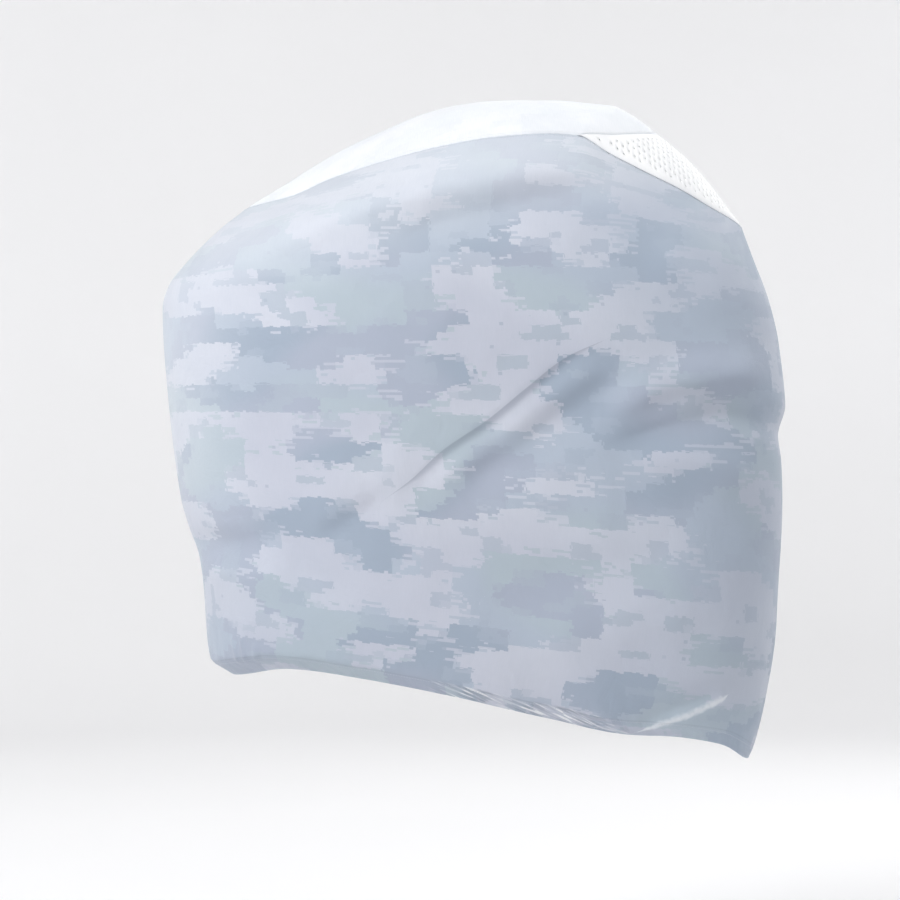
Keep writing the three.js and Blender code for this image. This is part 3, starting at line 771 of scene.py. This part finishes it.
def vent_mesh(name, materials):
    """The perforated panel: a closed sheet with round holes through it."""
    loop = to_flat(vent_outline())
    flat, faces = vent_triangles(loop)
    x, y = from_flat(flat).T
    shares = vent_share(x, y)
    half = np.maximum(side_point(shares, 1.0)[:, 1], 1e-6)
    across = np.clip(y / half, -1, 1)
    base, normals = insert_point(shares, across), insert_normals(shares, across)
    distance, _ = distance_to(flat, loop)
    lift = waviness(base[:, 0], base[:, 1], 9, 0.6) * smoothstep(distance, 2, 50)
    from_front = (shares - top_end(across)) * INSERT_LENGTH
    sunk = mix(FLAT_SEAM, 1, smoothstep(from_front, 2, 10)) * smoothstep(half, *NARROW)
    outer = base + normals * (lift - groove(distance, sunk))[:, None]
    a, b, c = (outer[faces[:, k]] for k in range(3))
    up = (np.cross(b - a, c - a) * normals[faces[:, 0]]).sum(-1) > 0
    faces = np.where(up[:, None], faces, faces[:, ::-1])
    pairs = {pair for face in faces.tolist() for pair in zip(face, face[1:] + face[:1])}
    rim = sorted((p, q) for p, q in pairs if (q, p) not in pairs)
    m = len(outer)
    walls = [(q, p, p + m, q + m) for p, q in rim]
    all_faces = faces.tolist() + (faces[:, ::-1] + m).tolist() + walls
    verts = np.vstack([outer, outer - normals * THICKNESS]) * MM
    edge = np.stack([np.full(m, FAR), distance], -1)
    uv_maps = {"print": np.vstack([flat, flat]) * MM, "edges": np.vstack([edge, edge]) * MM}
    piece = mesh_object(name, verts, all_faces, uv_maps, materials)
    piece.data.polygons.foreach_set("use_smooth", np.arange(len(all_faces)) < 2 * len(faces))
    return piece


def stitches(lines):
    """Short raised stitches along lines of points with normals, as vertices and faces."""
    sides = STITCH["sides"]
    along = np.array([-0.5, -0.42, -0.18, 0.18, 0.42, 0.5])[:, None, None] * STITCH["length"]
    fat = np.array([0.3, 0.8, 1.0, 1.0, 0.8, 0.3])[:, None, None] * STITCH["radius"]
    high = np.array([-0.5, -0.1, 0.45, 0.45, -0.1, -0.5])[:, None, None] * STITCH["radius"]
    angles = (TURN * np.arange(sides) / sides)[None, :, None]
    verts, faces = [], []
    for points, normals in lines:
        lengths = lengths_along(points)
        places = np.arange(STITCH["pitch"] / 2, lengths[-1], STITCH["pitch"])

        def at(places, values):
            return np.stack([np.interp(places, lengths, values[:, k]) for k in range(3)], -1)

        middle, up = at(places, points), unit(at(places, normals))
        ahead = unit(at(places + 0.5, points) - middle + 1e-9)
        for p, u, a, o in zip(middle, up, ahead, unit(np.cross(ahead, up))):
            rings = p + a * along + u * (high + 0.8 * fat * np.sin(angles)) + o * fat * np.cos(angles)
            verts.append(rings.reshape(-1, 3))
    count = len(along) * sides
    for first in range(0, len(verts) * count, count):
        for ring in range(first, first + count - sides, sides):
            for k in range(sides):
                after = (k + 1) % sides
                faces.append((ring + k, ring + after, ring + sides + after, ring + sides + k))
        faces.append(tuple(range(first + sides - 1, first - 1, -1)))
        faces.append(tuple(range(first + count - sides, first + count)))
    return np.vstack(verts) * MM, faces


# Materials


def srgb(red, green, blue):
    """A colour from 0 to 255 a channel as the linear values that a shader takes."""
    channels = [c / 255 for c in (red, green, blue)]
    return (*(c / 12.92 if c <= 0.04045 else ((c + 0.055) / 1.055) ** 2.4 for c in channels), 1.0)


class Shader:
    """Builds one material's nodes. A socket or a plain value can feed any input."""

    def __init__(self, name, **settings):
        self.material = bpy.data.materials.new(name)
        self.material.use_nodes = True
        self.tree = self.material.node_tree
        self.bsdf = self.tree.nodes["Principled BSDF"]
        for key, value in settings.items():
            self.bsdf.inputs[key.replace("_", " ")].default_value = value

    def node(self, kind, inputs=(), **settings):
        made = self.tree.nodes.new("ShaderNode" + kind)
        for key, value in settings.items():
            setattr(made, key, value)
        for key, value in dict(inputs).items():
            if isinstance(value, bpy.types.NodeSocket):
                self.tree.links.new(value, made.inputs[key])
            else:
                made.inputs[key].default_value = value
        return made

    def math(self, operation, a, b=0.0):
        return self.node("Math", {0: a, 1: b}, operation=operation).outputs[0]

    def times(self, a, b):
        return self.math("MULTIPLY", a, b)

    def plus(self, a, b):
        return self.math("ADD", a, b)

    def vector(self, operation, a, b=(0, 0, 0)):
        return self.node("VectorMath", {0: a, 1: b}, operation=operation).outputs[0]

    def parts(self, vector):
        return self.node("SeparateXYZ", {0: vector}).outputs

    def mapped(self, value, low, high, to_low=0.0, to_high=1.0, kind="SMOOTHSTEP"):
        inputs = {"Value": value, "From Min": low, "From Max": high, "To Min": to_low, "To Max": to_high}
        return self.node("MapRange", inputs, interpolation_type=kind).outputs["Result"]

    def noise(self, vector, scale=1.0, detail=0.0, rough=0.5, distortion=0.0, dimensions="2D", out="Fac"):
        inputs = {"Vector": vector, "Scale": scale, "Detail": detail, "Roughness": rough}
        made = self.node("TexNoise", {**inputs, "Distortion": distortion}, noise_dimensions=dimensions)
        return made.outputs[out]

    def mix(self, factor, a, b):
        return self.node("Mix", {0: factor, 6: a, 7: b}, data_type="RGBA").outputs[2]

    def over(self, factor, value, threshold, soft=0.006):
        """The factor where a noise value is over a threshold, with a nearly hard edge."""
        return self.times(self.mapped(value, threshold - soft, threshold + soft, kind="LINEAR"), factor)

    def uv(self, name):
        return self.node("UVMap", uv_map=name).outputs[0]

    def print_place(self):
        """The place on the cut cloth in millimetres."""
        place = self.vector("SCALE", self.uv("print"))
        place.node.inputs["Scale"].default_value = 1 / MM
        return place

    def link(self, socket, key):
        self.tree.links.new(socket, self.bsdf.inputs[key])

    def bump(self, height, strength=1.0, distance=MM):
        made = self.node("Bump", {"Strength": strength, "Distance": distance, "Height": height})
        self.link(made.outputs[0], "Normal")


LIGHT = srgb(203, 207, 219)
MID = srgb(178, 189, 204)
DARK = srgb(160, 173, 190)
TEAL = srgb(179, 192, 202)
LILAC = srgb(182, 186, 203)
# PALE and WHITE are the colours that painted light fades the print to; WHITE is also the strokes' painted
# highlight.
PALE = srgb(226, 231, 238)
WHITE = srgb(247, 249, 252)
# The colour of the painted highlight on the pull's ridge.
RIDGE_HIGHLIGHT = srgb(236, 240, 245)
# The colour of painted shade: below the crease, between the strokes and along the hem's casing.
CREASE = srgb(120, 132, 150)

# The print, in millimetres: the cells that its edges step along, and its fields of noise, each with a
# number that shifts it, its stretch across and up, and the threshold over which it shows, if it has one.
CELL = {"crumb": (5.2, 4.2, 1), "small": (13, 9.5, 1), "large": (39, 19, 1), "dash": (5.2, 3.5, 1)}
RAGGED = {"scale": 0.23, "shift": (10, 7, 0)}
FIELD = {
    "middle_tone": (1, 260, 150, None), "dark_tone": (2, 230, 150, None), "light_tone": (3, 300, 160, None),
    "dark": (4, 165, 78, 0.5), "light": (5, 150, 66, 0.53), "island": (6, 60, 24, 0.66),
    "stroke": (8, 34, 4.4, 0.6), "cut": (9, 30, 4.2, 0.6), "dot": (10, 9, 7, 0.88),
}
# Painted shade and painted light on the print, in metres: a range of x, a range of z, and the strength at its
# ends.
PAINTED_SHADE = [
    dict(x=(-0.05, 0.36), z=(-1, 0), strength=(0.42, 0.42)),
    dict(x=(0.0, 0.2), z=(-0.36, -0.2), strength=(0.0, 0.34)),
    dict(x=(-0.12, -0.3), z=(-0.54, -0.68), strength=(0.0, 0.2)),
]
PAINTED_LIGHT_BOW = dict(x=(-0.32, -0.5), z=(-0.66, -0.45), strength=(0.12, 0.4))
SHOULDER_SLOPE = 0.28  # how steeply the shoulder rises from the bow aft
# Painted highlights and painted shade of the strokes of drawn cloth by the tie point, in metres: lean is
# their slope, patches is the scale of the noise that thins them out, and they end this far ahead of the
# point.
STROKE = {"lean": 0.26, "width": 0.0034, "length": 0.036, "patches": 26.0}
STROKE_END = 0.27
# Lines of painted light and shade on the cloth, in metres: the painted highlight on the ridge of the pull at
# the tie point, the painted shade below the long crease, along the hem's casing and by a seam. Each is where
# it starts and ends, and its strength, which the seam's has from its material.
PULL_HIGHLIGHT = (0.0022, 0.0092, 0.78)
CREASE_SHADE = (-0.013, 0.0, 0.34)
CASING_SHADE = (0.0, 0.0014, 0.2)
SEAM_SHADE = (0.0, 0.0035)
# How strongly colours mix in: the strokes' painted shade and painted highlight, the soil and the thread's
# grain.
STRENGTH = {"stroke_shade": 0.42, "stroke_highlight": 0.85, "soil": 0.07, "thread": 0.06}
RELIEF = {"hem": 2.4, "stroke": 0.75, "crinkle": 0.9, "weave": 0.04}  # heights in millimetres
HEM_FALL = -42.0  # how fast the hem's relief dies away upwards


def weave_height(s, place, pitch=1.15):
    """The height of a fine plain weave, from -1 to 1."""
    waves = [s.math("SINE", s.times(part, TURN / pitch)) for part in s.parts(place)[:2]]
    return s.times(*waves)


def camouflage(s, place, seed):
    """The print's colour: light, middle and dark patches with stepped edges, and dashes along them.
    Each patch is a stretched noise read at the corners of large and small cells."""
    crumb = s.vector("SNAP", place, CELL["crumb"])
    ragged = s.noise(crumb, RAGGED["scale"], out="Color")
    shift = s.vector("MULTIPLY", s.vector("SUBTRACT", ragged, (0.5, 0.5, 0.5)), RAGGED["shift"])
    moved = s.vector("ADD", place, shift)
    small = s.vector("SNAP", moved, CELL["small"])
    large = s.vector("SNAP", moved, CELL["large"])
    dash = s.vector("SNAP", place, CELL["dash"])

    def field(source, word):
        number, across, high, _ = FIELD[word]
        offset = (seed * 317 + number * 911, seed * 131 + number * 577, 0)
        return s.noise(s.vector("MULTIPLY", s.vector("ADD", source, offset), (1 / across, 1 / high, 0)))

    def patch_value(word):
        return s.plus(s.times(field(large, word), 0.5), s.times(field(small, word), 0.5))

    def shown(value, word, strength):
        return s.over(strength, value, FIELD[word][3])

    def band(value, middle, reach):
        """1 where a patch value is near a threshold, so along the patch's edge."""
        return s.math("LESS_THAN", s.math("ABSOLUTE", s.math("SUBTRACT", value, middle)), reach)

    middle_tone = s.mix(s.mapped(field(place, "middle_tone"), 0.4, 0.6), MID, TEAL)
    dark_tone = s.mix(s.mapped(field(place, "dark_tone"), 0.4, 0.62), DARK, s.mix(0.5, DARK, LILAC))
    light_tone = s.mix(s.mapped(field(place, "light_tone"), 0.35, 0.65), LIGHT, s.mix(0.35, LIGHT, LILAC))
    light_value = patch_value("light")
    colour = s.mix(shown(patch_value("dark"), "dark", 1), middle_tone, dark_tone)
    colour = s.mix(shown(light_value, "light", 1), colour, light_tone)
    strokes = s.times(shown(field(dash, "stroke"), "stroke", 1), 0.75)
    colour = s.mix(s.times(band(light_value, 0.51, 0.022), strokes), colour, light_tone)
    cuts = shown(field(dash, "cut"), "cut", 0.8)
    colour = s.mix(s.times(band(light_value, 0.55, 0.02), cuts), colour, middle_tone)
    islands = shown(patch_value("island"), "island", 0.7)
    colour = s.mix(islands, colour, s.mix(0.5, middle_tone, dark_tone))
    return s.mix(shown(field(crumb, "dot"), "dot", 0.6), colour, dark_tone)


def tie_streaks(s):
    """Painted highlights and painted shade: bright and dark strokes of drawn cloth that lean down along the
    hem towards its tie point.
    """
    ahead, above = s.parts(s.uv("tie"))[:2]
    level = s.math("SUBTRACT", above, s.times(ahead, STROKE["lean"]))
    across = s.math("DIVIDE", level, STROKE["width"])
    place = s.node("CombineXYZ", {0: across, 1: s.math("DIVIDE", ahead, STROKE["length"])})
    strokes = s.noise(place.outputs[0], 1.0, 1.0, 0.35)
    patches = s.mapped(s.noise(s.uv("tie"), STROKE["patches"]), 0.38, 0.56, 0.35, 1.0)
    ends = s.times(s.mapped(ahead, 0.0, 0.012), s.mapped(ahead, STROKE_END - 0.05, STROKE_END, 1.0, 0.0))
    ceiling = s.mapped(ahead, -0.004, 0.05, 0.002, 0.019)
    low = s.mapped(s.math("SUBTRACT", above, ceiling), -0.001, 0.002, 1.0, 0.0)
    near = s.times(s.times(ends, patches), low)
    return [s.times(s.mapped(strokes, *span), near) for span in ((0.57, 0.63), (0.44, 0.36))]


def paint_light_and_shade(s, colour, pale, pale_from, pale_to, painted_light):
    """The print's colour with painted shade, darker low at the bow and at the stern, and painted light, paler
    at bow and crown.
    """
    x, _, z = s.parts(s.node("TexCoord").outputs["Object"])

    def zone(area):
        return s.times(s.mapped(x, *area["x"]), s.mapped(z, *area["z"], *area["strength"]))

    # Painted shade, darker towards the stern, high at the stern and low at the bow.
    for area in PAINTED_SHADE:
        colour = s.mix(zone(area), colour, DARK)
    level = s.math("SUBTRACT", z, s.times(x, SHOULDER_SLOPE))
    # Painted light: the print paler towards the crown and at the bow.
    crown = s.times(s.mapped(level, pale_from, pale_to), painted_light)
    return s.mix(s.math("MAXIMUM", crown, zone(PAINTED_LIGHT_BOW)), colour, pale)


def printed_cloth(name, seed, pale_from, pale_to, pale=PALE, painted_light=0.6, seam=0.3):
    """Coated stretch cloth with a camouflage print, with painted light that makes it paler towards the crown
    and the bow, and painted shade and painted highlights along its folds, hem and seams.
    """
    s = Shader(name, Sheen_Weight=0.12, Sheen_Roughness=0.45)
    place = s.print_place()
    colour = paint_light_and_shade(s, camouflage(s, place, seed), pale, pale_from, pale_to, painted_light)
    soil = s.mapped(s.noise(place, 0.012, 3.0, 0.6), 0.4, 0.7, 0.0, STRENGTH["soil"])
    colour = s.mix(soil, colour, DARK)
    from_pull, from_crease = s.parts(s.uv("marks"))[:2]
    ragged = s.times(s.noise(place, 0.11, 1.0), 0.005)
    # Painted highlight along the ridge of the pull at the tie point.
    highlit_ridge = s.mapped(s.plus(s.math("ABSOLUTE", from_pull), ragged), *PULL_HIGHLIGHT, 0.0)
    colour = s.mix(highlit_ridge, colour, RIDGE_HIGHLIGHT)
    # Painted shade and painted highlights of the strokes by the tie point.
    bright, dark = tie_streaks(s)
    colour = s.mix(s.times(dark, STRENGTH["stroke_shade"]), colour, CREASE)
    colour = s.mix(s.times(bright, STRENGTH["stroke_highlight"]), colour, WHITE)
    # Painted shade below the long crease, with a sharp upper edge.
    below_crease = s.mapped(from_crease, *CREASE_SHADE[:2], 0.0, CREASE_SHADE[2])
    sharp_top = s.mapped(from_crease, 0.0, 0.001, 1.0, 0.0)
    colour = s.mix(s.times(below_crease, sharp_top), colour, CREASE)
    above_hem, from_seam = s.parts(s.uv("edges"))[:2]
    # Painted shade along the hem's casing and by the seams.
    from_casing = s.math("ABSOLUTE", s.math("SUBTRACT", above_hem, HEM_FLAP * MM))
    colour = s.mix(s.mapped(from_casing, *CASING_SHADE, 0.0), colour, CREASE)
    colour = s.mix(s.mapped(from_seam, *SEAM_SHADE, seam, 0.0), colour, s.mix(0.5, DARK, MID))
    grain = s.noise(s.vector("MULTIPLY", place, (0.9, 0.05, 1)), 1.0, 2.0)
    thread = s.mapped(grain, 0.3, 0.7, 0.0, STRENGTH["thread"])
    s.link(s.mix(thread, colour, DARK), "Base Color")
    s.link(s.mapped(s.noise(place, 0.02, 2.0), 0.3, 0.7, 0.52, 0.64), "Roughness")
    hem = s.math("EXPONENT", s.times(above_hem, HEM_FALL))
    pulls = s.noise(s.vector("MULTIPLY", place, (0.085, 0.012, 1)), 1.0, 1.5)
    strokes = s.times(s.math("SUBTRACT", bright, dark), RELIEF["stroke"])
    relief = s.plus(s.times(s.times(hem, pulls), RELIEF["hem"]), strokes)
    crinkle = s.times(s.noise(place, 0.03, 3.0, 0.55, 0.6), RELIEF["crinkle"])
    weave = s.times(weave_height(s, place), RELIEF["weave"])
    s.bump(s.plus(s.plus(relief, weave), crinkle))
    return s.material


def reverse_cloth(name):
    """The inside of the printed cloth: its pale coating, with a faint weave."""
    s = Shader(name, Roughness=0.7, Sheen_Weight=0.1)
    place = s.print_place()
    tone = s.mapped(s.noise(place, 0.02, 3.0), 0.3, 0.7)
    s.link(s.mix(tone, srgb(206, 210, 216), srgb(219, 222, 226)), "Base Color")
    s.bump(s.times(weave_height(s, place), 0.05))
    return s.material


def vent_cloth(name):
    """White perforated cloth with a slight woven grain."""
    s = Shader(name, Roughness=0.5, Sheen_Weight=0.1)
    place = s.print_place()
    tone = s.mapped(s.noise(place, 0.015, 3.0), 0.3, 0.7)
    colour = s.mix(tone, srgb(245, 246, 248), srgb(251, 252, 253))
    from_seam = s.parts(s.uv("edges"))[1]
    # Painted shade by the seams.
    s.link(s.mix(s.mapped(from_seam, 0.0, 0.003, 0.1, 0.0), colour, MID), "Base Color")
    weave = s.times(weave_height(s, place, 0.9), 0.035)
    s.bump(s.plus(weave, s.times(s.noise(place, 0.05, 2.0), 0.4)))
    return s.material


def thread_cloth(name, colour_a, colour_b):
    """Twisted polyester thread."""
    s = Shader(name, Roughness=0.45, Sheen_Weight=0.2)
    spot = s.node("TexCoord").outputs["Object"]
    tone = s.noise(spot, 900.0, 1.0, dimensions="3D")
    s.link(s.mix(tone, colour_a, colour_b), "Base Color")
    s.bump(s.noise(spot, 2600.0, 0.0, dimensions="3D"), 0.6, 0.0001)
    return s.material


# The side cloth and the top cloth, each with painted light towards the crown; the top panel's is paler and
# stronger.
side_cloth = printed_cloth("side_cloth", 1, -0.225, -0.075, painted_light=0.55)
top_cloth = printed_cloth("top_cloth", 2, -0.6, -0.2, pale=WHITE, painted_light=0.82, seam=0.1)
reverse = reverse_cloth("reverse_cloth")
perforated = vent_cloth("vent_cloth")
grey_thread = thread_cloth("grey_thread", srgb(176, 184, 198), srgb(204, 209, 219))
white_thread = thread_cloth("white_thread", srgb(226, 229, 233), srgb(244, 245, 247))


def place_piece(piece, node):
    """Hangs a piece on the frame, in place of its node where one is given."""
    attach(piece, "root")
    if node:
        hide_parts(node)


def sew(name, points, normals, lines, thread):
    """Stitches along lines of a panel's grid, each given as its rows and its columns."""
    verts, faces = stitches([(points[line], normals[line]) for line in lines])
    place_piece(mesh_object(name, verts, faces, {}, [thread]), None)


ROW = SEAM_DISTANCES.index(STITCH["from_seam"])
TIP_STITCHES = 30  # the stitches of the top panel start at this column
HEM_STITCHES = 8  # the hem's stitches leave out this many columns at each end

for word, side, folds, seed in (("port", -1, PORT_FOLDS, 3), ("starboard", 1, STARBOARD_FOLDS, 8)):
    points, maps = side_grid(side, folds, seed)
    panel = sheet_mesh(f"side_panel_{word}_cloth", points, maps, side > 0, [side_cloth, reverse])
    place_piece(panel, f"side_panel_{word}")
    hem_row = OUTER_ROW + int(np.argmin(np.abs(side_rows()[0][OUTER_ROW:] - HEM_FLAP)))
    outer = slice(OUTER_ROW, -ROW)
    lines = [
        (-1 - ROW, slice(ROW, -ROW)),
        (hem_row, slice(HEM_STITCHES, -HEM_STITCHES)),
        (outer, ROW),
        (outer, -1 - ROW),
    ]
    sew(f"side_stitching_{word}", points, -side * grid_normals(points), lines, grey_thread)

points, maps = top_grid()
top = sheet_mesh("top_panel_cloth", points, maps, False, [top_cloth, reverse])
place_piece(top, "top_panel")
along = slice(TIP_STITCHES, -1 - ROW)
lines = [(ROW, along), (-1 - ROW, along), (slice(ROW, -1 - ROW), -1 - ROW)]
sew("top_stitching", points, grid_normals(points), lines, white_thread)

vent = vent_mesh("vent_panel_cloth", [perforated])
place_piece(vent, "vent_panel")


# The studio

CAMERA = {"x": -0.094, "y": -3.4, "z": -0.48, "width": 1.25}
FLOOR = {"drop": 0.42, "radius": 4.0, "bend": 1.2, "wall": 3.6, "bend_steps": 12, "sides": 96}
DAYLIGHT = 0.27
SENSOR = 36

camera_data = bpy.data.cameras.new("camera")
camera_data.sensor_width = SENSOR
camera_data.lens = SENSOR * -CAMERA["y"] / CAMERA["width"]
camera = bpy.data.objects.new("camera", camera_data)
camera.location = (CAMERA["x"], CAMERA["y"], CAMERA["z"])
camera.rotation_euler = (math.pi / 2, 0, 0)
bpy.context.scene.collection.objects.link(camera)
bpy.context.scene.camera = camera


def studio_floor():
    """A pale floor that curves up into a wall all round."""
    lowest = cad_box[0].z - FLOOR["drop"]
    turn = TURN * np.arange(FLOOR["sides"]) / FLOOR["sides"]
    rise = math.pi / 2 * np.arange(FLOOR["bend_steps"] + 1) / FLOOR["bend_steps"]
    reach = FLOOR["radius"] + FLOOR["bend"] * np.append(np.sin(rise), 1)
    level = lowest + np.append(FLOOR["bend"] * (1 - np.cos(rise)), FLOOR["wall"])
    rings = np.stack([np.outer(reach, np.cos(turn)), np.outer(reach, np.sin(turn))], -1)
    levels = np.repeat(level, len(turn))[:, None]
    verts = np.vstack([[[0, 0, lowest]], np.hstack([rings.reshape(-1, 2), levels])])
    n = len(turn)
    faces = [(0, 1 + k, 1 + (k + 1) % n) for k in range(n)]
    for a in range(1, len(verts) - n, n):
        faces += [(a + k, a + n + k, a + n + (k + 1) % n, a + (k + 1) % n) for k in range(n)]
    s = Shader("studio_paint", Roughness=0.9)
    tone = s.noise(s.node("TexCoord").outputs["Object"], 0.8, 2.0, dimensions="3D")
    s.link(s.mix(tone, srgb(240, 240, 241), srgb(246, 246, 247)), "Base Color")
    floor = mesh_object("studio_floor", verts, faces, {}, [s.material])


def area_light(name, place, size, power, aim=(-0.06, 0, -0.45)):
    data = bpy.data.lights.new(name, "AREA")
    data.shape = "DISK"
    data.size = size
    data.energy = power
    light = bpy.data.objects.new(name, data)
    light.location = place
    light.rotation_euler = (Vector(aim) - Vector(place)).to_track_quat("-Z", "Y").to_euler()
    light.visible_camera = False
    bpy.context.scene.collection.objects.link(light)


studio_floor()
area_light("key", (-2.3, -2.2, 1.7), 1.2, 80)
area_light("front_fill", (-0.4, -3.2, 0.5), 2.2, 4)
area_light("top_soft", (1.6, -0.5, 2.2), 1.8, 34)
area_light("back_fill", (1.2, 2.8, 1.4), 2.4, 26)
for word, x in (("left", -2.6), ("right", 2.6)):
    area_light("wall_" + word, (x, 0.9, 1.9), 2.0, 40, aim=(x * 0.35, 5.2, -0.5))

world = bpy.data.worlds.new("studio")
world.use_nodes = True
world.node_tree.nodes["Background"].inputs[0].default_value = (1, 1, 1, 1)
world.node_tree.nodes["Background"].inputs[1].default_value = DAYLIGHT
bpy.context.scene.world = world
bpy.context.scene.view_settings.view_transform = "Standard"
